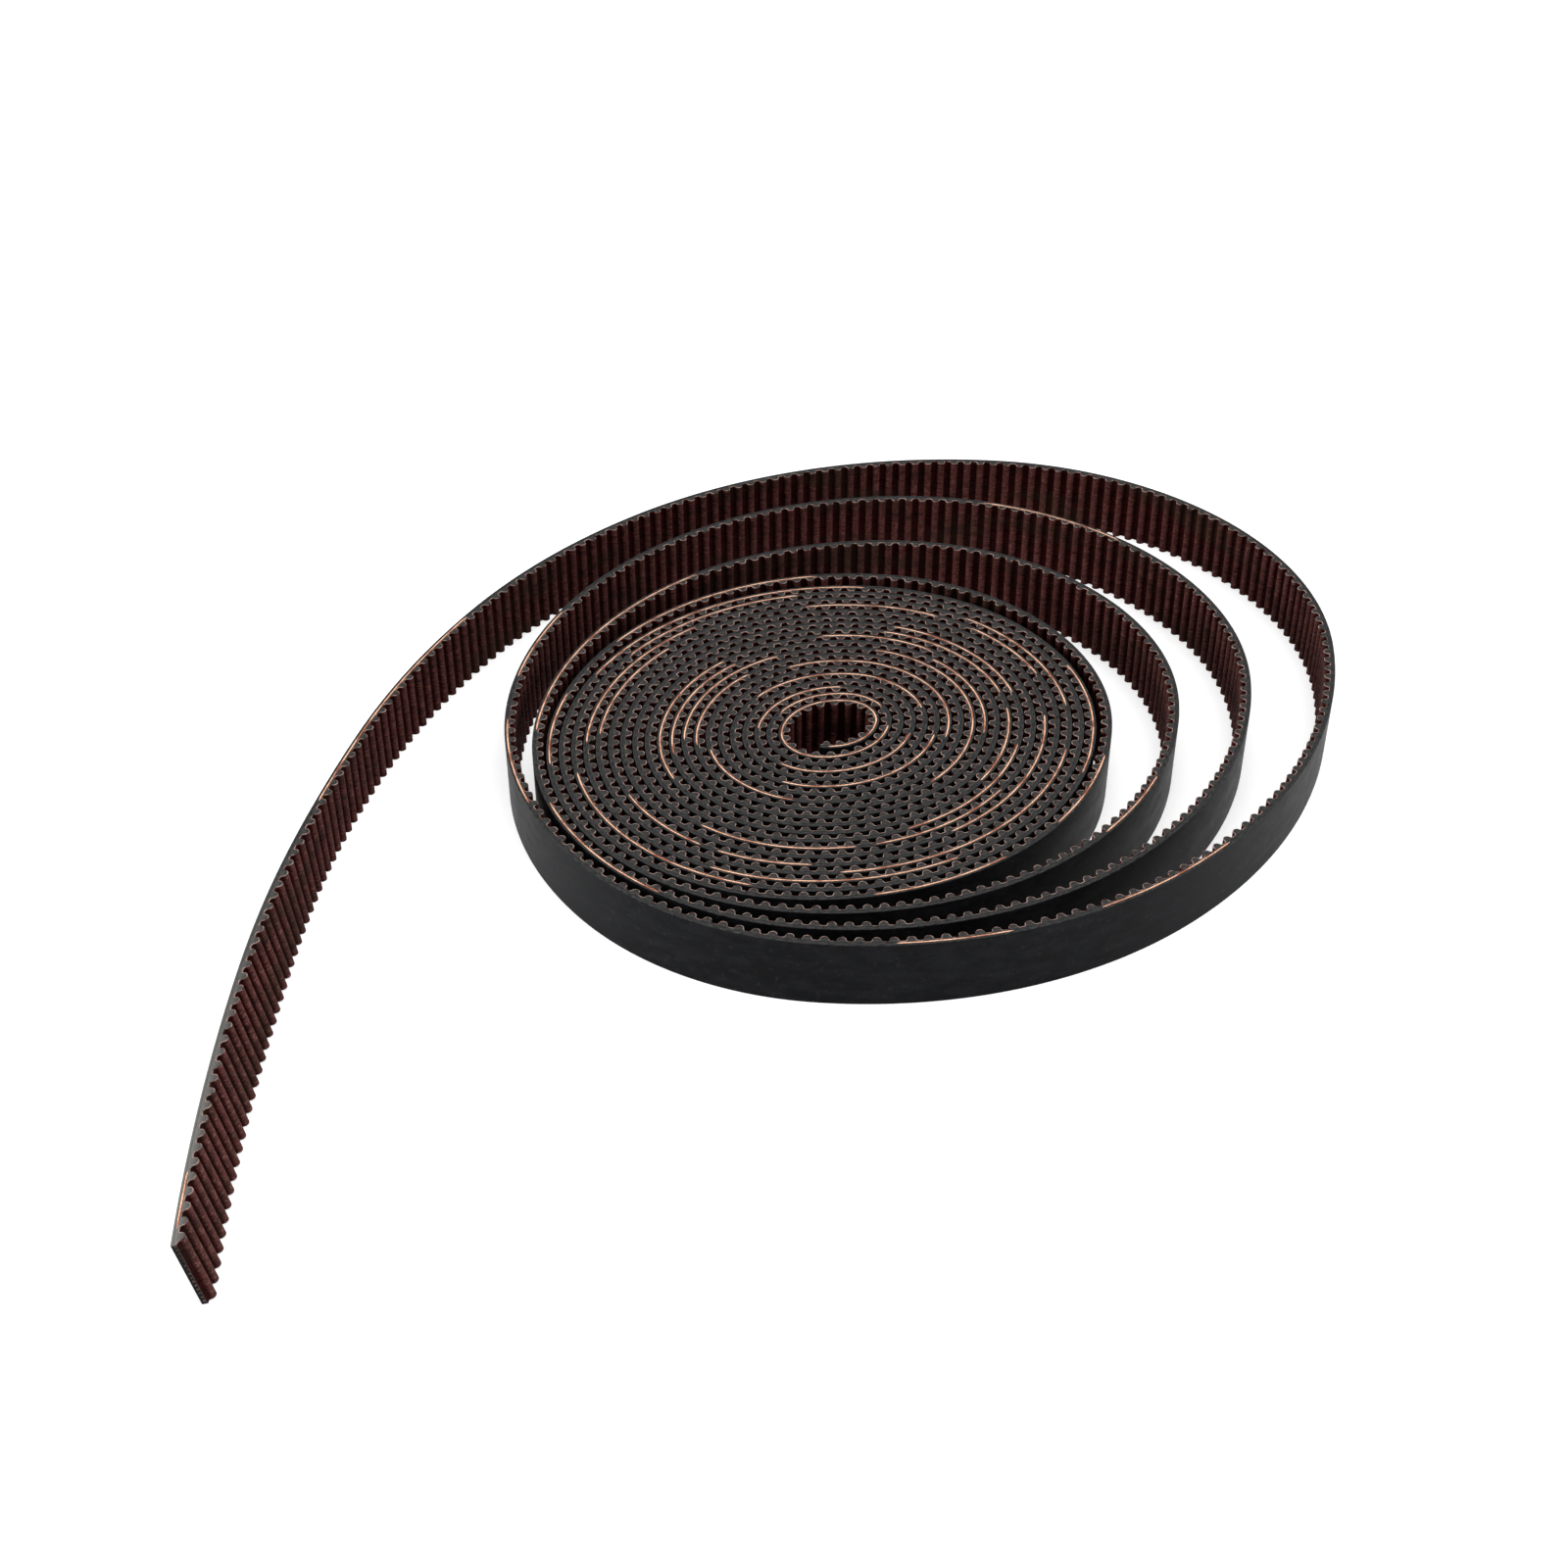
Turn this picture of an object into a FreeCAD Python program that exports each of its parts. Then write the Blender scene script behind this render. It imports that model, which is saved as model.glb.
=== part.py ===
"""Open-ended timing belt, 2 mm pitch and 9 mm wide, wound into a coil.

The belt stands on one cut edge.  Z is up and z = 0 is the surface it
stands on.  X = Y = 0 is the middle of the open eye of the coil.  The back
of the belt faces outward and its teeth face the middle.

Everything follows one line, the cord line, which is the pitch line of the
belt.  It is a chain of tangent arcs that unwinds counter-clockwise from
the inner end.  Layers lie at fixed offsets from it, positive towards the
back and negative towards the teeth.
"""
import FreeCAD
import Part
import math
import os

V = FreeCAD.Vector
UP = V(0, 0, 1)

doc = FreeCAD.newDocument("timing_belt")
sheet = doc.addObject("Spreadsheet::Sheet", "Sizes")

SIZES = [
    ("BeltWidth", 9.0, "width of the belt, its height as it stands"),
    ("ToothPitch", 2.0, "distance from tooth to tooth on the cord line"),
    ("BackOffset", 0.38, "cord line to the smooth back"),
    ("BedHalf", 0.17, "half thickness of the cord bed"),
    ("ToothLand", 0.20, "cord line to the rubber between two teeth"),
    ("ToothHeight", 0.75, "rubber tooth above the land"),
    ("ToothFootHalf", 0.56, "half width of a rubber tooth at its foot"),
    ("FacingThick", 0.09, "thickness of the nylon facing"),
    ("CordDia", 0.32, "diameter of the edge cord"),
    ("BedTop", 8.68, "top of the cord bed, floor of the edge groove"),
    ("InnerRadius", 5.37, "mean radius of the first winding"),
    ("WindingPitch", 1.534, "mean growth per winding"),
    ("OvalInner", 1.42, "ovality of the first winding"),
    ("OvalGrowth", 1.73, "ovality gained by the last tight winding"),
    ("StartX", -1.34, "start of the cord line, from the middle of the eye"),
    ("StartY", -4.66, "start of the cord line, from the middle of the eye"),
    ("StartHeading", -5.7, "direction of the cord line at its start"),
]
for row, (alias, value, note) in enumerate(SIZES, start=1):
    sheet.set("A%d" % row, note)
    sheet.set("B%d" % row, str(value))
    sheet.setAlias("B%d" % row, alias)
doc.recompute()


def size(alias):
    """One number from the sheet."""
    return float(sheet.get(alias))


WIDTH = size("BeltWidth")
PITCH = size("ToothPitch")
BACK = size("BackOffset")
BED = size("BedHalf")
LAND = size("ToothLand")
FOOT = size("ToothFootHalf")
FACING = size("FacingThick")
TOOTHED_LENGTHS = 12

# Tight windings: four arcs to a turn, wide and narrow in turn, so that
# the roll is a little oval, as a roll wound by hand is.
TIGHT_ARCS = 76
TIGHT_SWEEP = 90.0

# Loose turns: radius of each arc, eight arcs to a turn.
LOOSE_SWEEP = 45.0
LOOSE_TURNS = [
    [37.8, 39.1, 32.8, 31.3, 38.6, 40.2, 33.3, 34.4],
    [44.7, 47.2, 36.6, 35.7, 44.5, 48.4, 38.4, 37.8],
    [51.5, 57.3, 42.7, 43.1, 51.6, 55.4, 48.8, 41.6],
]

# Outer turn and free tail: radius and sweep of each arc.
TAIL_ARCS = [
    (60.9, 45.0),
    (69.9, 45.0),
    (45.2, 45.0),
    (46.7, 45.0),
    (72.8, 45.0),
    (86.8, 22.0),
    (121.2, 14.0),
    (200.6, 12.0),
    (328.8, 8.0),
]


def arc_sizes():
    """Radius and sweep of every arc of the cord line, inner end first."""
    arcs = []
    for k in range(TIGHT_ARCS):
        oval = size("OvalInner") + size("OvalGrowth") * k / TIGHT_ARCS
        side = 1 if k % 2 == 0 else -1
        mean = size("InnerRadius") + k * size("WindingPitch") / 4
        arcs.append((mean + side * oval, TIGHT_SWEEP))
    for turn in LOOSE_TURNS:
        for radius in turn:
            arcs.append((radius, LOOSE_SWEEP))
    return arcs + TAIL_ARCS


def cord_line():
    """Arcs as (centre, radius, start angle, sweep, length before it)."""
    here = V(size("StartX"), size("StartY"), 0)
    heading = math.radians(size("StartHeading"))
    run = 0.0
    line = []
    for radius, sweep in arc_sizes():
        inward = V(-math.sin(heading), math.cos(heading), 0)
        centre = here + inward * radius
        start = heading - math.pi / 2
        turn = math.radians(sweep)
        line.append((centre, radius, start, turn, run))
        heading += turn
        run += radius * turn
        end = heading - math.pi / 2
        here = centre + V(math.cos(end), math.sin(end), 0) * radius
    return line, run


LINE, LENGTH = cord_line()
TEETH = int(LENGTH / PITCH)


def point_at(arc, along, offset):
    """Point on one arc, at a distance along the belt and an offset."""
    centre, radius, start, turn, run = arc
    angle = start + (along - run) / radius
    out = V(math.cos(angle), math.sin(angle), 0)
    return centre + out * (radius + offset)


def arc_edge(arc, offset, begin, finish):
    """Part of one arc, from one distance along the belt to another."""
    centre, radius, start, turn, run = arc
    circle = Part.Circle(centre, UP, radius + offset)
    from_angle = start + (begin - run) / radius
    to_angle = start + (finish - run) / radius
    return Part.ArcOfCircle(circle, from_angle, to_angle).toShape()


def smooth_side(offset, begin=0.0, finish=LENGTH):
    """Edges of a stretch of belt at a constant offset, inner end first."""
    edges = []
    for arc in LINE:
        low = max(begin, arc[4])
        high = min(finish, arc[4] + arc[1] * arc[3])
        if high - low > 1e-6:
            edges.append(arc_edge(arc, offset, low, high))
    return edges


def bonded_side(offset, begin, finish):
    """As smooth_side, with a joint at every tooth pitch."""
    edges = []
    for number in range(round(begin / PITCH), TEETH + 1):
        low = number * PITCH
        high = min(low + PITCH, finish)
        if high - low > 1e-6:
            edges += smooth_side(offset, low, high)
    return edges


def arc_under(along):
    """The arc that holds a distance along the belt."""
    return [arc for arc in LINE if arc[4] <= along][-1]


def toothed_side(land, tip, foot, begin, finish):
    """Edges of the toothed side of a stretch: a round tooth, then a land."""
    edges = []
    last = point_at(arc_under(begin), begin, -land)
    for number in range(round(begin / PITCH), int(finish / PITCH)):
        middle = (number + 0.5) * PITCH
        arc = arc_under(middle)
        left = point_at(arc, middle - foot, -land)
        crest = point_at(arc, middle, -tip)
        right = point_at(arc, middle + foot, -land)
        edges.append(Part.LineSegment(last, left).toShape())
        edges.append(Part.Arc(left, crest, right).toShape())
        last = right
    end = point_at(arc_under(finish), finish, -land)
    edges.append(Part.LineSegment(last, end).toShape())
    return edges


def ends(edges):
    """First and last point of a chain of edges."""
    return edges[0].valueAt(edges[0].FirstParameter), \
        edges[-1].valueAt(edges[-1].LastParameter)


def strip_face(one_side, other_side):
    """Flat face between two chains of edges, closed by the cut ends."""
    first_a, last_a = ends(one_side)
    first_b, last_b = ends(other_side)
    closing = [
        Part.LineSegment(last_a, last_b).toShape(),
        Part.LineSegment(first_b, first_a).toShape(),
    ]
    loop = one_side + closing[:1] + other_side[::-1] + closing[1:]
    return Part.Face(Part.Wire(loop))


def outline(name, face):
    """Keep a flat outline in the document."""
    item = doc.addObject("Part::Feature", name)
    item.Shape = face
    item.Label = name
    return item


def extruded(name, face, height):
    """Raise an outline by a height that is read from the sheet."""
    item = doc.addObject("Part::Extrusion", name)
    item.Base = outline(name + "_outline", face)
    item.DirMode = "Custom"
    item.Dir = UP
    item.Solid = True
    item.setExpression("LengthFwd", "Sizes." + height)
    item.Label = name
    return item


# Rubber backing: the smooth black outside of the belt.
backing = extruded(
    "backing", strip_face(smooth_side(BED), smooth_side(BACK)), "BeltWidth")

# Tooth rubber: lies on the cord bed and carries one round tooth per pitch.
# Nylon facing: a woven skin over the teeth and lands.
# Both run the whole length of the belt.  They are drawn as a row of
# lengths that meet end to end, because one solid with every tooth on it
# is too heavy to handle.
TIP = LAND + size("ToothHeight")
PER_LENGTH = math.ceil(TEETH / TOOTHED_LENGTHS)
rubbers = []
facings = []
for number in range(TOOTHED_LENGTHS):
    begin = number * PER_LENGTH * PITCH
    finish = min(begin + PER_LENGTH * PITCH, LENGTH)
    bonded = bonded_side(-BED, begin, finish)
    rubber = toothed_side(LAND, TIP, FOOT, begin, finish)
    skin = toothed_side(
        LAND + FACING, TIP + FACING, FOOT + FACING, begin, finish)
    rubbers.append(extruded(
        "tooth_rubber_%02d" % (number + 1),
        strip_face(bonded, rubber), "BeltWidth"))
    facings.append(extruded(
        "tooth_facing_%02d" % (number + 1),
        strip_face(rubber, skin), "BeltWidth"))

# Cord bed: the layer of tensile cords and the rubber between them, as one
# ribbon.  Its top is the floor of the open groove in the upper cut edge.
cord_bed = extruded(
    "cord_bed", strip_face(smooth_side(-BED), smooth_side(BED)), "BedTop")

# Edge cord: the cord that lies open in that groove, the whole length.
path = Part.Wire(smooth_side(0.0))
first = point_at(LINE[0], 0.0, 0.0)
tangent = LINE[0][0].sub(first).cross(UP)
tangent.normalize()
section = Part.Wire(Part.Circle(first, tangent, size("CordDia") / 2).toShape())
edge_cord = doc.addObject("Part::Feature", "edge_cord")
edge_cord.Shape = path.makePipe(Part.Face(section))
edge_cord.Placement = FreeCAD.Placement()
edge_cord.setExpression("Placement.Base.z", "Sizes.BedTop + Sizes.CordDia / 2")
edge_cord.Label = "edge_cord"

doc.recompute()

NODES = [backing, cord_bed, edge_cord] + rubbers + facings

os.makedirs("parts", exist_ok=True)
for item in NODES:
    shape = item.Shape
    if "Invalid" in item.State or not shape.isValid():
        raise RuntimeError("bad shape: " + item.Label)
    if len(shape.Solids) != 1:
        raise RuntimeError("not one solid: " + item.Label)
    Part.export([item], os.path.join("parts", item.Label + ".step"))
    print(item.Label, round(shape.Volume, 1), "mm3",
          len(shape.Faces), "faces")
print("belt length", round(LENGTH, 1), "mm,", TEETH, "teeth")
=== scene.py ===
# %% [markdown]
# # A round-tooth timing belt, wound up on its edge
# A timing belt is a ribbon of black rubber. One side is smooth, the other has a
# row of round teeth under a reddish-brown nylon cloth, and thin cords inside
# keep it from stretching. This one is 9 mm wide with a tooth every 2 mm. It
# stands on its edge, wound into a flat spiral whose last end hangs free.
# Every piece of it follows the same long line, so the whole lesson is about
# making a short straight sample of belt, repeating it, and winding it up.

# %% The frame: the measured model that this one is built round
import bmesh
import bpy
import math
import numpy as np
from mathutils import Matrix, Vector


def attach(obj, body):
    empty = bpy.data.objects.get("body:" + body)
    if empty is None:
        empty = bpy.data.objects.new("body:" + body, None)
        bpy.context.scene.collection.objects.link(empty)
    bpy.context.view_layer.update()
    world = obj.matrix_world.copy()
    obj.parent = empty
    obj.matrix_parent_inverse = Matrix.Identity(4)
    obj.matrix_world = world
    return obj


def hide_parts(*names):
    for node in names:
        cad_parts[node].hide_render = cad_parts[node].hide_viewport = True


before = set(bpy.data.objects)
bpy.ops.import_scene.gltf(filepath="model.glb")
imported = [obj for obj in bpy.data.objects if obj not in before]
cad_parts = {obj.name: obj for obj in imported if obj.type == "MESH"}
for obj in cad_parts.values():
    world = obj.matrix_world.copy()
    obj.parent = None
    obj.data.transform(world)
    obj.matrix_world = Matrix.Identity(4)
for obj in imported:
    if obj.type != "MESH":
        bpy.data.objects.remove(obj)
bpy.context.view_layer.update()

MM = 0.001
print("packed parts:", len(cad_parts))

# %% [markdown]
# ## The sizes of the belt
# All sizes are in millimetres, measured from the cord line, the layer that
# neither stretches nor shrinks when the belt bends. The smooth back is at
# +0.38 and the teeth point the other way, so their numbers are negative.

# %% The sizes
PITCH = 2.0
WIDTH = 9.0
BACK = 0.38
BED = 0.17
TIP_ROUND = 0.555
FACING_THICK = 0.09
FACING_LAND, FACING_TIP = 0.29, 1.04
RUBBER_LAND, RUBBER_TIP = FACING_LAND - FACING_THICK, FACING_TIP - FACING_THICK
CORD_RADIUS = 0.16
EDGE_CORD_HEIGHT = 8.86
GROOVE_FLOOR = 8.95
print("belt:", WIDTH, "mm wide,", round(BACK + FACING_TIP, 2), "mm thick over a tooth")

# %% [markdown]
# ## The winding line
# Seen from above, the wound belt is a chain of arcs that run smoothly into each
# other, each with its own centre. Twenty tight turns are made of quarter arcs
# that grow by a quarter of the layer spacing each. Every other one is a little
# wider, which makes the coil slightly oval. Three loose turns and the free end
# are made of shorter arcs with their own radii. A point given by how far along
# the belt it is, and how far from the cord line, then has one place in space.

# %% The arcs of the winding, inner end first
TIGHT = 76
INNER_RADIUS, TURN_GROWTH = 5.37, 1.534
OVAL_INNER, OVAL_GROWTH = 1.42, 1.73
START, START_HEADING = (-1.34, -4.66), -5.7
radii = []
for k in range(TIGHT):
    oval = OVAL_INNER + OVAL_GROWTH * k / TIGHT
    mean = INNER_RADIUS + k * TURN_GROWTH / 4
    radii.append((mean + (oval if k % 2 == 0 else -oval), 90.0))
for turn in (
    (37.8, 39.1, 32.8, 31.3, 38.6, 40.2, 33.3, 34.4),
    (44.7, 47.2, 36.6, 35.7, 44.5, 48.4, 38.4, 37.8),
    (51.5, 57.3, 42.7, 43.1, 51.6, 55.4, 48.8, 41.6),
):
    radii += [(radius, 45.0) for radius in turn]
radii += [(60.9, 45.0), (69.9, 45.0), (45.2, 45.0), (46.7, 45.0), (72.8, 45.0)]
radii += [(86.8, 22.0), (121.2, 14.0), (200.6, 12.0), (328.8, 8.0)]

here, heading, run = Vector(START), math.radians(START_HEADING), 0.0
arcs = []
for radius, sweep in radii:
    centre = here + radius * Vector((-math.sin(heading), math.cos(heading)))
    arcs.append((centre.x, centre.y, radius, heading - math.pi / 2, run))
    heading += math.radians(sweep)
    run += radius * math.radians(sweep)
    here = centre + radius * Vector((math.sin(heading), -math.cos(heading)))
ARCS = np.array(arcs)
LENGTH = run
TEETH = int(LENGTH / PITCH)
print("belt length:", round(LENGTH, 1), "mm, teeth:", TEETH, "arcs:", len(ARCS))

# %% [markdown]
# ## Winding a straight piece
# Modelling straight and bending afterwards keeps every step easy to check. A
# Curve modifier would squeeze the teeth unevenly on such a tight spiral, so the
# points are moved in code: x becomes the distance along the winding line, y the
# distance out from it, and z stays the height. The free end of a coil like this
# is held by nothing and leans a little outwards at the top, so over its last
# 80 mm the ribbon is tipped about its lower outer corner, which stays down. The
# inner end springs a little way into the open eye, clear of the next turn.

# %% Winding and leaning
LEAN = math.radians(11.0)
LEAN_STARTS, LEAN_FULL, LEAN_SHIFT = 80.0, 40.0, 1.1
CURL_LENGTH, CURL_IN = 15.0, 0.85


def wound(points):
    """Points of the straight belt, in mm, moved to their places on the coil."""
    along, out, up = points.T.copy()
    share = (along - (LENGTH - LEAN_STARTS)) / (LEAN_STARTS - LEAN_FULL)
    share = np.clip(share, 0.0, 1.0)
    share = share * share * (3.0 - 2.0 * share)
    tip = LEAN * share
    leant_out = BACK + (out - BACK) * np.cos(tip) + up * np.sin(tip)
    leant_up = up * np.cos(tip) - (out - BACK) * np.sin(tip)
    number = np.searchsorted(ARCS[:, 4], along, side="right") - 1
    x, y, radius, start, before = ARCS[np.clip(number, 0, len(ARCS) - 1)].T
    angle = start + (along - before) / radius
    sprung = np.clip(1.0 - along / CURL_LENGTH, 0.0, 1.0) ** 2
    reach = radius + leant_out - LEAN_SHIFT * share - CURL_IN * sprung
    return np.stack(
        [x + reach * np.cos(angle), y + reach * np.sin(angle), leant_up], axis=1
    )


ends = wound(np.array([[0.0, 0.0, 0.0], [LENGTH, 0.0, 0.0]]))
print("inner end at", ends[0].round(1), "free end at", ends[1].round(1))

# %% [markdown]
# ## From one sample to a whole belt
# Each piece starts as a sample one tooth long. An Array modifier repeats it and
# joins the copies where they meet, which is how a moulded belt repeats its
# mould too. The straight coordinates are kept on the mesh as an attribute
# called *belt* before the winding, so that cloth, wear and twist can be drawn
# along the ribbon afterwards, wherever it bends. The open ends are then closed.

# %% Repeat, remember, wind, close
JOIN_WITHIN = 0.004


def belt_piece(name, sample, count=TEETH, length=PITCH, sharp=40.0):
    """A finished piece from one straight sample: a bmesh in mm, open at both ends."""
    mesh = bpy.data.meshes.new(name)
    sample.to_mesh(mesh)
    sample.free()
    piece = bpy.data.objects.new(name, mesh)
    bpy.context.collection.objects.link(piece)
    row = piece.modifiers.new("row", "ARRAY")
    row.use_relative_offset = False
    row.use_constant_offset = True
    row.constant_offset_displace = (length, 0, 0)
    row.count = count
    row.use_merge_vertices = True
    row.merge_threshold = JOIN_WITHIN
    shape = bpy.context.evaluated_depsgraph_get()
    mesh = bpy.data.meshes.new_from_object(piece.evaluated_get(shape))
    piece.modifiers.clear()
    piece.data = mesh
    points = np.empty(len(mesh.vertices) * 3)
    mesh.vertices.foreach_get("co", points)
    straight = points.reshape(-1, 3)
    mesh.attributes.new("belt", "FLOAT_VECTOR", "POINT")
    mesh.attributes["belt"].data.foreach_set("vector", straight.ravel())
    mesh.vertices.foreach_set("co", (wound(straight) * MM).ravel())
    bm = bmesh.new()
    bm.from_mesh(mesh)
    open_edges = [e for e in bm.edges if e.is_boundary]
    bmesh.ops.holes_fill(bm, edges=open_edges, sides=0)
    bmesh.ops.recalc_face_normals(bm, faces=bm.faces)
    for edge in bm.edges:
        edge.smooth = edge.calc_face_angle(math.pi) < math.radians(sharp)
    for face in bm.faces:
        face.smooth = True
    left_open = sum(e.is_boundary for e in bm.edges)
    bm.to_mesh(mesh)
    bm.free()
    triangles = sum(len(p.vertices) - 2 for p in mesh.polygons)
    print(f"{name}: {triangles} triangles, {left_open} open edges")
    return piece


# %% [markdown]
# ## Drawing the section of a sample
# A tooth's tip is half a circle, which one spun point draws. Its two end points
# are then pushed on, first down the hollow feet that keep a moulded tooth from
# tearing at its corner, and then along the flat lands either side.
# Two such outlines are bridged into a thin plate, and the plate is extruded up
# to the belt's width. The plate at the first and last cut is taken away again,
# because neighbouring samples join there.

# %% Outlines and plates
def flat_line(bm, offset, steps):
    """A straight line across one pitch, in equal steps."""
    start = bm.verts.new((0.0, offset, 0.0))
    made = bmesh.ops.extrude_vert_indiv(bm, verts=[start])
    bmesh.ops.translate(bm, verts=made["verts"], vec=(PITCH, 0, 0))
    bmesh.ops.subdivide_edges(bm, edges=made["edges"], cuts=steps - 1)
    return [e for e in bm.edges if all(abs(v.co.y - offset) < 1e-6 for v in e.verts)]


def tooth_line(bm, land, tip, foot, steps):
    """Half a land, a round tooth with hollow feet, and half a land."""
    before = set(bm.edges)
    radius = TIP_ROUND - (FACING_TIP - tip)
    middle = Vector((PITCH / 2, radius - tip, 0.0))
    first = bm.verts.new(middle - Vector((radius, 0.0, 0.0)))
    bmesh.ops.spin(
        bm, geom=[first], cent=middle, axis=(0, 0, 1), angle=math.pi, steps=steps
    )
    for reach, offset in (*foot, (PITCH / 2, land)):
        tips = [v for v in bm.verts if is_tip(v, before)]
        grown = bmesh.ops.extrude_vert_indiv(bm, verts=tips)["verts"]
        for vert in grown:
            side = math.copysign(reach, vert.co.x - PITCH / 2)
            vert.co = (PITCH / 2 + side, -offset, 0.0)
    return [e for e in bm.edges if e not in before]


def is_tip(vert, before):
    """True at an open end of the line that is being drawn."""
    return len(vert.link_edges) == 1 and vert.link_edges[0] not in before


def plate_up(bm, low, high):
    """Extrudes the flat plate from one height to another and opens both cuts."""
    bmesh.ops.translate(bm, verts=bm.verts, vec=(0, 0, low))
    raised = bmesh.ops.extrude_face_region(bm, geom=list(bm.faces))["geom"]
    top = [v for v in raised if isinstance(v, bmesh.types.BMVert)]
    bmesh.ops.translate(bm, verts=top, vec=(0, 0, high - low))
    cuts = [
        f
        for f in bm.faces
        if all(abs(v.co.x) < 1e-5 for v in f.verts)
        or all(abs(v.co.x - PITCH) < 1e-5 for v in f.verts)
    ]
    bmesh.ops.delete(bm, geom=cuts, context="FACES")


# %% [markdown]
# ## The backing
# The smooth black side is one layer of rubber with the cords pressed into its
# inner face. Where the ribbon was cut to width, the knife leaves a fine groove
# along the cord layer. So the section is a rectangle whose top has a shallow
# step: the plate is raised once for the cord bed, and the back's share of the
# top faces is raised a second time.

# %% The backing and its cord groove
BACK_STEPS = 4
sample = bmesh.new()
inner = flat_line(sample, -BED, BACK_STEPS)
step = flat_line(sample, BED, BACK_STEPS)
outer = flat_line(sample, BACK, BACK_STEPS)
bmesh.ops.bridge_loops(sample, edges=inner + step)
bmesh.ops.bridge_loops(sample, edges=step + outer)
plate_up(sample, 0.0, GROOVE_FLOOR)
rim = [
    f
    for f in sample.faces
    if all(v.co.z > GROOVE_FLOOR - 1e-4 and v.co.y > BED - 1e-4 for v in f.verts)
]
lip = bmesh.ops.extrude_face_region(sample, geom=rim)["geom"]
lip_points = [v for v in lip if isinstance(v, bmesh.types.BMVert)]
bmesh.ops.translate(sample, verts=lip_points, vec=(0, 0, WIDTH - GROOVE_FLOOR))
bmesh.ops.delete(sample, geom=rim, context="FACES")
cuts = [
    f
    for f in sample.faces
    if all(abs(v.co.x) < 1e-5 for v in f.verts)
    or all(abs(v.co.x - PITCH) < 1e-5 for v in f.verts)
]
bmesh.ops.delete(sample, geom=cuts, context="FACES")
backing = belt_piece("rubber_backing", sample)

# %% [markdown]
# ## The teeth
# The tooth rubber is the same compound as the back, moulded in one row. Its
# outline is flat against the cord bed on one side and round on the other.

# %% The tooth rubber
TIP_STEPS, BED_STEPS = 8, 14
sample = bmesh.new()
bed_side = flat_line(sample, -BED, BED_STEPS)
RUBBER_FOOT = ((0.58, 0.275), (0.715, RUBBER_LAND))
tooth_side = tooth_line(sample, RUBBER_LAND, RUBBER_TIP, RUBBER_FOOT, TIP_STEPS)
bmesh.ops.bridge_loops(sample, edges=bed_side + tooth_side)
plate_up(sample, 0.0, WIDTH)
teeth = belt_piece("tooth_rubber_row", sample)

# %% [markdown]
# ## The nylon facing
# A stretchy woven nylon cloth lies over the teeth and wears instead of the
# rubber. It is the part that gives this belt its brown inside. As a real layer
# with a thickness it also shows as a pale rim round each tooth on the cut edge.

# %% The facing
sample = bmesh.new()
FACING_FOOT = ((0.64, 0.345), (0.745, FACING_LAND))
rubber_side = tooth_line(sample, RUBBER_LAND, RUBBER_TIP, RUBBER_FOOT, TIP_STEPS)
open_side = tooth_line(sample, FACING_LAND, FACING_TIP, FACING_FOOT, TIP_STEPS)
bmesh.ops.bridge_loops(sample, edges=rubber_side + open_side)
plate_up(sample, 0.0, WIDTH)
facing = belt_piece("nylon_facing", sample)

# %% [markdown]
# ## The cords
# Fourteen cords lie side by side in the belt and carry its pull. They only show
# at the two cut ends. One more cord was caught by the knife: it runs along the
# upper cut edge, lying bare for a few centimetres and then dipping back into
# the rubber, over and over. A circle extruded along the pitch makes a cord.

# %% The cords inside
CORDS, FIRST_CORD, CORD_SPACING = 14, 0.45, 0.60


def cord_sample(heights, offset, sides, length, radius):
    """Short lengths of cord side by side, open at both cuts."""
    bm = bmesh.new()
    for height in heights:
        ring = bmesh.ops.create_circle(bm, segments=sides, radius=radius)["verts"]
        upright = Matrix.Rotation(math.radians(90.0), 3, "Y")
        bmesh.ops.rotate(bm, verts=ring, cent=(0, 0, 0), matrix=upright)
        bmesh.ops.translate(bm, verts=ring, vec=(0, offset, height))
        edges = list({e for v in ring for e in v.link_edges})
        grown = bmesh.ops.extrude_edge_only(bm, edges=edges)["geom"]
        far = [v for v in grown if isinstance(v, bmesh.types.BMVert)]
        bmesh.ops.translate(bm, verts=far, vec=(length, 0, 0))
    return bm


heights = [FIRST_CORD + CORD_SPACING * n for n in range(CORDS)]
half = CORDS // 2
lower_cords = belt_piece(
    "tensile_cords_lower", cord_sample(heights[:half], 0.0, 6, PITCH, CORD_RADIUS)
)
upper_cords = belt_piece(
    "tensile_cords_upper", cord_sample(heights[half:], 0.0, 6, PITCH, CORD_RADIUS)
)

# %% [markdown]
# ## The bare edge cord
# Where this cord shows is not regular: the cords are wound in at a slight angle
# and the knife wanders, so it is laid bare for one to four centimetres and then
# dips back into the rubber. The places are listed as distances along the belt,
# and the cord's height is lowered everywhere else.

# %% Where the edge cord is bare, in mm from the inner end
BARE_PLACES = (
    (1, 50), (54, 70), (112, 128), (136, 157), (231, 258), (279, 304), (391, 424),
    (446, 462), (530, 548), (585, 622), (635, 659), (714, 733), (761, 784),
    (862, 878), (892, 921), (966, 983), (986, 1008), (1097, 1121), (1132, 1155),
    (1224, 1244), (1246, 1266), (1419, 1448), (1546, 1560), (1562, 1574),
    (1632, 1646), (1651, 1670), (1691, 1713), (1759, 1800), (1809, 1834),
    (1873, 1904), (1935, 1966), (2054, 2082), (2109, 2142), (2192, 2217),
    (2251, 2296), (2367, 2385), (2394, 2410), (2476, 2509), (2522, 2538),
    (2624, 2638), (2744, 2788), (2803, 2826), (2968, 2990), (3062, 3079),
    (3088, 3107), (3161, 3175), (3186, 3207), (3419, 3463), (3524, 3532),
)


CORD_DIP, DIP_LENGTH = 0.16, 1.5


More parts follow.
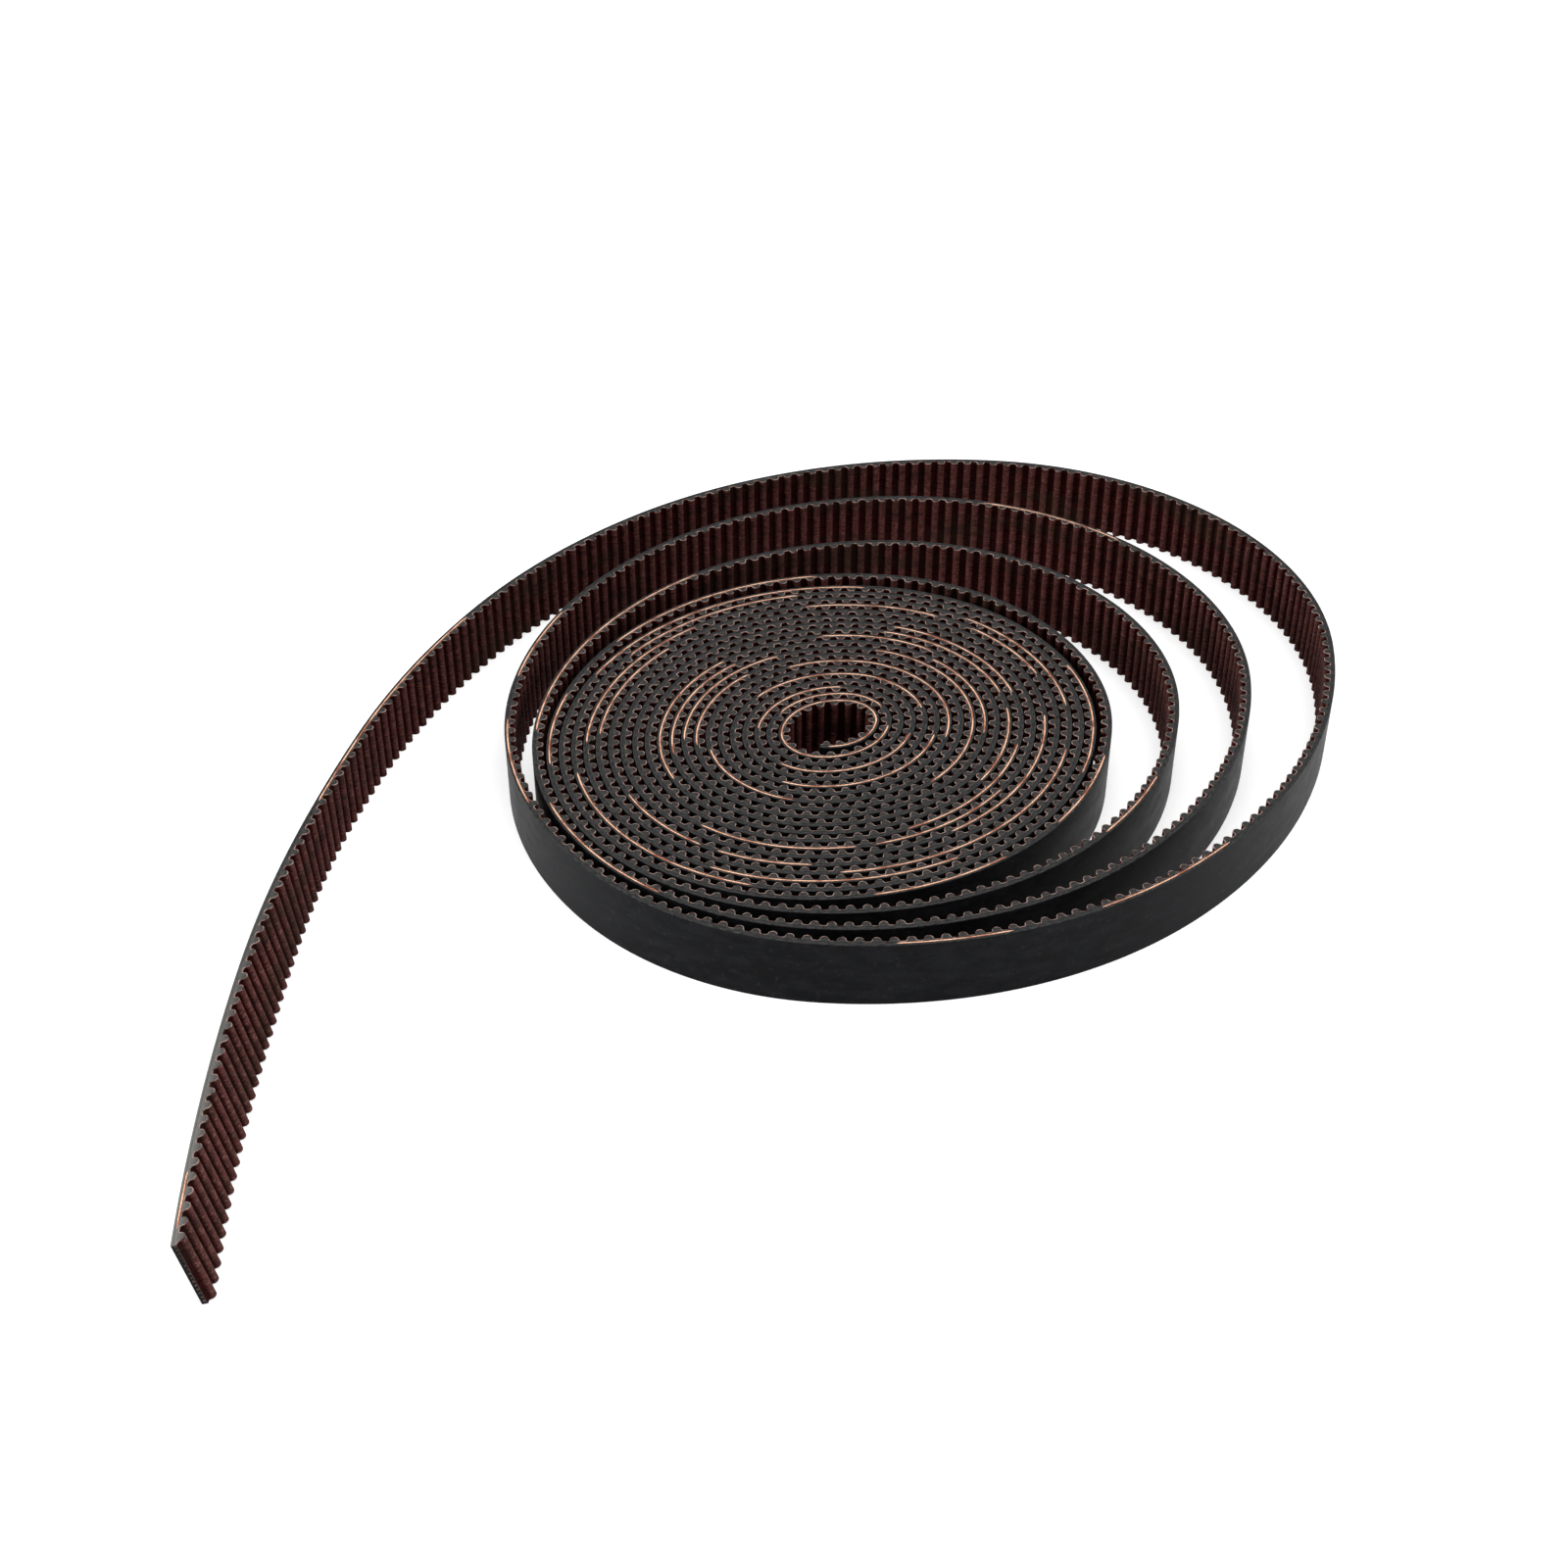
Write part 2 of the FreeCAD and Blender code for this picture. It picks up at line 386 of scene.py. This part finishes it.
def bare(along):
    """How bare the edge cord lies at each place, from 0, buried, to 1."""
    share = np.zeros_like(along)
    for start, stop in BARE_PLACES:
        near = np.minimum(along - start, stop - along) / DIP_LENGTH + 0.5
        share = np.maximum(share, np.clip(near, 0, 1))
    return share


edge_cord = belt_piece(
    "open_edge_cord",
    cord_sample([EDGE_CORD_HEIGHT], 0.0, 8, PITCH / 2, CORD_RADIUS),
    count=TEETH * 2,
    length=PITCH / 2,
)
mesh = edge_cord.data
straight = np.empty(len(mesh.vertices) * 3)
mesh.attributes["belt"].data.foreach_get("vector", straight)
straight = straight.reshape(-1, 3)
lowered = straight.copy()
lowered[:, 2] -= CORD_DIP * (1.0 - bare(straight[:, 0]))
mesh.vertices.foreach_set("co", (wound(lowered) * MM).ravel())
mesh.update()
print("bare share of the edge cord:", round(float(bare(straight[:, 0]).mean()), 2))

# %% [markdown]
# ## Writing materials as sums
# A material here is a formula: how dark, how rough, how bumpy at each point of
# the belt. Wrapping a socket in a small class lets the formula be written as
# plain Python, and each operator adds the Math node it stands for.

# %% A small language for node materials
class Wire:
    """A socket of a material's node tree, with sums written as Python."""

    def __init__(self, tree, socket):
        self.tree = tree
        self.socket = socket

    def node(self, kind, settings=None, output=0, **inputs):
        """Adds any node: its settings first, then the values or links of its sockets."""
        made = self.tree.nodes.new(kind)
        for key, value in (settings or {}).items():
            setattr(made, key, value)
        for key, value in inputs.items():
            numbered = key[0] == "i" and key[1:].isdigit()
            self.put(made.inputs[int(key[1:]) if numbered else key], value)
        return Wire(self.tree, made.outputs[output])

    def put(self, socket, value):
        """Links a wire to a socket, or writes a plain value on it."""
        if isinstance(value, Wire):
            self.tree.links.new(value.socket, socket)
        elif isinstance(value, tuple) and len(value) == 3 and socket.type == "RGBA":
            socket.default_value = (*value, 1.0)
        else:
            socket.default_value = value

    def math(self, operation, one, two=0.0):
        return self.node("ShaderNodeMath", {"operation": operation}, i0=one, i1=two)

    def __add__(self, other):
        return self.math("ADD", self, other)

    __radd__ = __add__

    def __sub__(self, other):
        return self.math("SUBTRACT", self, other)

    def __rsub__(self, other):
        return self.math("SUBTRACT", other, self)

    def __mul__(self, other):
        return self.math("MULTIPLY", self, other)

    __rmul__ = __mul__

    def sine(self):
        return self.math("SINE", self)

    def size(self):
        return self.math("ABSOLUTE", self)

    def ramp(self, low, high):
        """0 below low, 1 above high, and a smooth step between them."""
        return self.node(
            "ShaderNodeMapRange",
            {"interpolation_type": "SMOOTHSTEP"},
            i0=self, i1=low, i2=high, i3=0.0, i4=1.0,
        )

    def either(self, other):
        return self.math("MAXIMUM", self, other)

    def mix(self, one, two):
        """A colour between two others, with this wire as the share of the second."""
        return self.node(
            "ShaderNodeMix", {"data_type": "RGBA"}, output=2, i0=self, i6=one, i7=two
        )

    def scaled(self, x, y, z):
        return self.node(
            "ShaderNodeVectorMath", {"operation": "MULTIPLY"}, i0=self, i1=(x, y, z)
        )

    def noise(self, scale=1.0, detail=2.0, roughness=0.5):
        return self.node(
            "ShaderNodeTexNoise", None, Vector=self, Scale=scale, Detail=detail,
            Roughness=roughness,
        )

    def parts(self):
        """The three numbers of a vector: along, out and up on this belt."""
        made = self.tree.nodes.new("ShaderNodeSeparateXYZ")
        self.tree.links.new(self.socket, made.inputs[0])
        return [Wire(self.tree, s) for s in made.outputs]


def finish_named(name, fixed):
    """A new material with its fixed shader values, and the belt's own coordinates."""
    material = bpy.data.materials.new(name)
    material.use_nodes = True
    tree = material.node_tree
    shader = tree.nodes["Principled BSDF"]
    for key, value in fixed.items():
        shader.inputs[key].default_value = value
    start = Wire(tree, None)
    place = start.node("ShaderNodeAttribute", {"attribute_name": "belt"}, output=1)
    return material, shader, place


def connect(shader, colour, rough, height, distance, strength=1.0):
    """Feeds a colour, a roughness and a bump height into a material's shader."""
    colour.put(shader.inputs["Base Color"], colour)
    rough.put(shader.inputs["Roughness"], rough)
    bump = height.node(
        "ShaderNodeBump", None, Strength=strength, Distance=distance, Height=height
    )
    bump.put(shader.inputs["Normal"], bump)


print("material helpers ready")

# %% [markdown]
# ## The rubber
# Belt rubber is black with a satin shine where it was pressed against a smooth
# mould. The knife cut along both edges is dull and grey instead, with fine
# scratches in the direction of the cut. Handling leaves a few paler streaks and
# specks of dust on the back. The cut is found from the belt's own height, so
# one material does both, and the change is a thin worn line, not a sharp step.
# The cut edge of the free end's last 75 mm is painted paler than the rest.

# %% The backing rubber
EDGE_LOW, EDGE_HIGH = 0.06, WIDTH - 0.12
PALE_END = LENGTH - 75.0


def cut_edge(place, up, wander):
    """1 on the two cut edges and on the worn line beside them."""
    ragged = place.scaled(0.9, 0.9, 0.9).noise(1.0, 3.0) * wander
    return (up - ragged).ramp(EDGE_HIGH, WIDTH - 0.08).either(
        1.0 - (ragged + up).ramp(0.0, EDGE_LOW)
    )


material, shader, place = finish_named(
    "black_belt_rubber", {"Specular IOR Level": 0.05}
)
along, out, up = place.parts()
cut = cut_edge(place, up, 0.03)
grain = place.scaled(9.0, 9.0, 9.0).noise(1.0, 3.0, 0.6)
streaks = place.scaled(0.30, 1.0, 0.75).noise(1.0, 5.0, 0.66)
dust = place.scaled(1.4, 1.4, 1.4).noise(1.0, 6.0, 0.7).ramp(0.56, 0.74)
scratches = place.scaled(1.2, 16.0, 1.0).noise(1.0, 4.0, 0.65)
back = streaks.ramp(0.36, 0.68).mix((0.0028, 0.0030, 0.0037), (0.0080, 0.0083, 0.0098))
back = (dust * 0.45).mix(back, (0.036, 0.036, 0.036))
top = scratches.ramp(0.36, 0.64).mix((0.008, 0.008, 0.009), (0.056, 0.056, 0.055))
far_end = along.ramp(PALE_END, LENGTH)
top = (far_end * 0.55).mix(top, (0.26, 0.25, 0.235))
rough = 0.36 + grain * 0.10 + streaks.ramp(0.3, 0.8) * 0.12 + cut * 0.30
height = grain * 0.25 + streaks * 0.25 + scratches * cut * 0.8
connect(shader, cut.mix(back, top), rough, height, 0.00003, 0.5)
black_rubber = material

# %% The tooth rubber, seen on the cut edge only
material, shader, place = finish_named("tooth_rubber_cut", {"Specular IOR Level": 0.06})
along, out, up = place.parts()
core = (0.0 - out).ramp(0.20, 0.80)
scratches = place.scaled(2.2, 14.0, 1.0).noise(1.0, 4.0, 0.65)
speckle = place.scaled(11.0, 11.0, 11.0).noise(1.0, 2.0, 0.6)
cut_colour = scratches.ramp(0.34, 0.66).mix((0.012, 0.012, 0.012), (0.070, 0.068, 0.066))
far_end = along.ramp(PALE_END, LENGTH)
cut_colour = (far_end * 0.45).mix(cut_colour, (0.23, 0.22, 0.205))
cut_colour = (core * 0.40).mix(cut_colour, (0.014, 0.014, 0.014))
connect(shader, cut_colour, 0.62 + speckle * 0.2, scratches + speckle * 0.5, 0.00003, 0.5)
grey_rubber = material

# %% [markdown]
# ## The cloth
# The facing is a fine twill of nylon, dyed a reddish brown and soaked with
# rubber while the teeth were moulded. Its ribs cross the belt about five to the
# millimetre and its threads are stretched over the crests, which rub against
# the pulleys and turn paler and greyer. The valleys are painted dark and red:
# partly the cloth's own red and partly painted shade in the hollows between the
# teeth. How far a point is from the cord line tells crest from valley, and slow
# noise along the belt gives the olive and smoky patches that such cloth picks
# up. The cloth is painted paler towards the free end, over its last 90 mm.

# %% The facing cloth
material, shader, place = finish_named(
    "brown_nylon_cloth", {"Specular IOR Level": 0.03}
)
along, out, up = place.parts()
crest = (0.0 - out).ramp(0.50, 0.98)
cut = cut_edge(place, up, 0.04)
warp = (along * 26.0 + up * 9.0).sine()
weft = (up * 31.0 - along * 6.0).sine()
weave = (warp * weft) * 0.5 + 0.5
fuzz = place.scaled(13.0, 13.0, 13.0).noise(1.0, 3.0, 0.7)
runs = place.scaled(0.7, 1.0, 6.5).noise(1.0, 4.0, 0.66)
patches = place.scaled(0.045, 0.0, 0.22).noise(1.0, 4.0, 0.6)
smoke = place.scaled(0.11, 0.0, 0.5).noise(1.0, 3.0, 0.6).ramp(0.52, 0.70)
# Over the free end's last 90 mm the crests are painted paler and more flecked.
free_end_paler = along.ramp(LENGTH - 90.0, LENGTH - 15.0)
# Valley colour: the cloth's own dark red, darkened further as painted shade in the
# hollows between the teeth.
valley_red_and_shade = runs.ramp(0.38, 0.62).mix((0.007, 0.0006, 0.0006), (0.038, 0.0036, 0.0032))
worn = runs.ramp(0.38, 0.62).mix((0.028, 0.0062, 0.0058), (0.106, 0.0350, 0.0310))
cloth = crest.mix(valley_red_and_shade, worn)
flecks = place.scaled(2.9, 1.5, 3.4).noise(1.0, 4.0, 0.7).ramp(0.53, 0.64)
cloth = (flecks * crest * (0.25 + free_end_paler * 0.50)).mix(cloth, (0.310, 0.160, 0.130))
cloth = (free_end_paler * crest * 0.20).mix(cloth, (0.230, 0.085, 0.075))
cloth = (patches.ramp(0.48, 0.62) * 0.50).mix(cloth, (0.022, 0.015, 0.009))
cloth = (smoke * 0.55).mix(cloth, (0.010, 0.006, 0.006))
cloth = ((1.0 - weave) * 0.40).mix(cloth, (0.006, 0.0012, 0.0012))
nicks = place.scaled(0.8, 1.2, 1.0).noise(1.0, 4.0, 0.7)
rim = nicks.ramp(0.40, 0.60).mix((0.040, 0.021, 0.017), (0.340, 0.235, 0.205))
rough = 0.60 + fuzz * 0.22 - crest * 0.10
height = weave * 0.8 + fuzz * 0.7 + runs * 0.4
connect(shader, cut.mix(cloth, rim), rough, height, 0.00005, 0.7)
brown_cloth = material

# %% [markdown]
# ## The cord
# The cord is a twist of fine glass threads dipped in an orange-brown adhesive.
# Bare threads shine peach, the grooves between them stay brown. The cord's two
# flanks are painted darker, a painted shade that leaves a painted highlight
# along its middle.

# %% The twisted cord
material, shader, place = finish_named(
    "dipped_cord", {"Specular IOR Level": 0.25}
)
along, out, up = place.parts()
twist = ((along * 11.0 + up * 14.0 + out * 14.0).sine() * 0.5) + 0.5
tone = place.scaled(0.22, 1.0, 1.0).noise(1.0, 5.0, 0.68)
cord_colour = tone.ramp(0.38, 0.58).mix((0.36, 0.105, 0.052), (1.0, 0.62, 0.42))
# Painted shade on the cord's flanks, which leaves a painted highlight along its middle.
flank_painted_shade = out.size().ramp(0.045, 0.125)
cord_colour = (flank_painted_shade * 0.85).mix(cord_colour, (0.150, 0.045, 0.022))
cord_colour = ((1.0 - twist) * 0.30).mix(cord_colour, (0.20, 0.060, 0.028))
sawn = along.ramp(TEETH * PITCH - 0.3, TEETH * PITCH - 0.1)
cord_colour = (sawn * 0.85).mix(cord_colour, (0.085, 0.040, 0.028))
connect(shader, cord_colour, 0.34 + twist * 0.2, twist, 0.00005, 0.6)
peach_cord = material

for piece, material in (
    (backing, black_rubber), (teeth, grey_rubber), (facing, brown_cloth),
    (lower_cords, peach_cord), (upper_cords, peach_cord), (edge_cord, peach_cord),
):
    piece.data.materials.clear()
    piece.data.materials.append(material)
    print(piece.name, "wears", material.name)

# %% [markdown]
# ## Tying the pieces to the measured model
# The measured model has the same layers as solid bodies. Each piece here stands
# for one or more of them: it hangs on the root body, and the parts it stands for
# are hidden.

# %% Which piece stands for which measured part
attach(backing, "root")
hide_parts("backing", "cord_bed")
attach(teeth, "root")
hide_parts(*[f"tooth_rubber_{n:02d}" for n in range(1, 13)])
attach(facing, "root")
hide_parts(*[f"tooth_facing_{n:02d}" for n in range(1, 13)])
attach(lower_cords, "root")
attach(upper_cords, "root")
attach(edge_cord, "root")
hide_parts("edge_cord")
print("pieces tied to the frame")

# %% [markdown]
# ## Floor, light and camera
# A white seamless ground and large soft lamps are how such a small black thing
# is usually shown: the ground stays almost pure white, and the rubber gets its
# shape from the bright ground and the lamps. The ground also glows a little by
# itself, a painted light that keeps it white between the turns. The glow depends
# on how far a place is from the middle of the coil: there is none under the
# middle, a painted shade that keeps the eye of the coil dark, and most of it lies
# far away.

# %% Floor
floor_shape = bmesh.new()
bmesh.ops.create_grid(floor_shape, x_segments=1, y_segments=1, size=6.0)
floor_mesh = bpy.data.meshes.new("floor")
floor_shape.to_mesh(floor_mesh)
floor_shape.free()
floor = bpy.data.objects.new("floor", floor_mesh)
bpy.context.collection.objects.link(floor)
paper = bpy.data.materials.new("white_paper")
paper.use_nodes = True
shader = paper.node_tree.nodes["Principled BSDF"]
shader.inputs["Base Color"].default_value = (0.62, 0.62, 0.62, 1.0)
shader.inputs["Roughness"].default_value = 0.9
shader.inputs["Specular IOR Level"].default_value = 0.1
shader.inputs["Emission Strength"].default_value = 1.0
OBJECT_PLACE = 3  # the output that gives a point's place on its own object
start = Wire(paper.node_tree, None)
spot = start.node("ShaderNodeTexCoord", output=OBJECT_PLACE)
away = spot.node("ShaderNodeVectorMath", {"operation": "LENGTH"}, output=1, i0=spot)
# Painted light: the floor glows by itself, and the lack of glow under the middle of the
# coil is a painted shade in its eye.
near = away.ramp(0.024, 0.034).mix((0.0, 0.0, 0.0), (0.60, 0.60, 0.60))
glow = away.ramp(0.15, 0.60).mix(near, (1.0, 1.0, 1.0))
glow.put(shader.inputs["Emission Color"], glow)
floor_mesh.materials.append(paper)
print("floor laid")

# %% Lights
scene = bpy.context.scene
world = bpy.data.worlds.new("studio")
world.use_nodes = True
sky = world.node_tree.nodes["Background"]
sky.inputs["Color"].default_value = (1.0, 1.0, 1.0, 1.0)
sky.inputs["Strength"].default_value = 0.26
scene.world = world
scene.view_settings.view_transform = "Standard"


def soft_lamp(name, place, target, width, depth, watts):
    """A rectangular lamp that faces a target."""
    lamp = bpy.data.lights.new(name, "AREA")
    lamp.shape = "RECTANGLE"
    lamp.size = width
    lamp.size_y = depth
    lamp.energy = watts
    holder = bpy.data.objects.new(name, lamp)
    holder.location = place
    aim = Vector(target) - Vector(place)
    holder.rotation_euler = aim.to_track_quat("-Z", "Y").to_euler()
    bpy.context.collection.objects.link(holder)


soft_lamp("lamp_above", (0.05, 0.02, 0.70), (0, 0, 0), 0.40, 0.40, 3.1)
soft_lamp("lamp_left", (-0.62, -0.06, 0.24), (0, 0, 0), 0.35, 0.25, 4.5)
soft_lamp("lamp_right", (0.55, -0.20, 0.38), (-0.02, 0, 0), 0.45, 0.40, 2.4)

# %% Camera
eye = bpy.data.cameras.new("camera")
eye.lens = 52.2
eye.sensor_width = 36.0
eye.clip_start = 0.005
camera = bpy.data.objects.new("camera", eye)
camera.location = (-0.00580, -0.23575, 0.17869)
camera.rotation_euler = (math.radians(52.837), 0.0, 0.0)
bpy.context.collection.objects.link(camera)
scene.camera = camera
print("camera set")
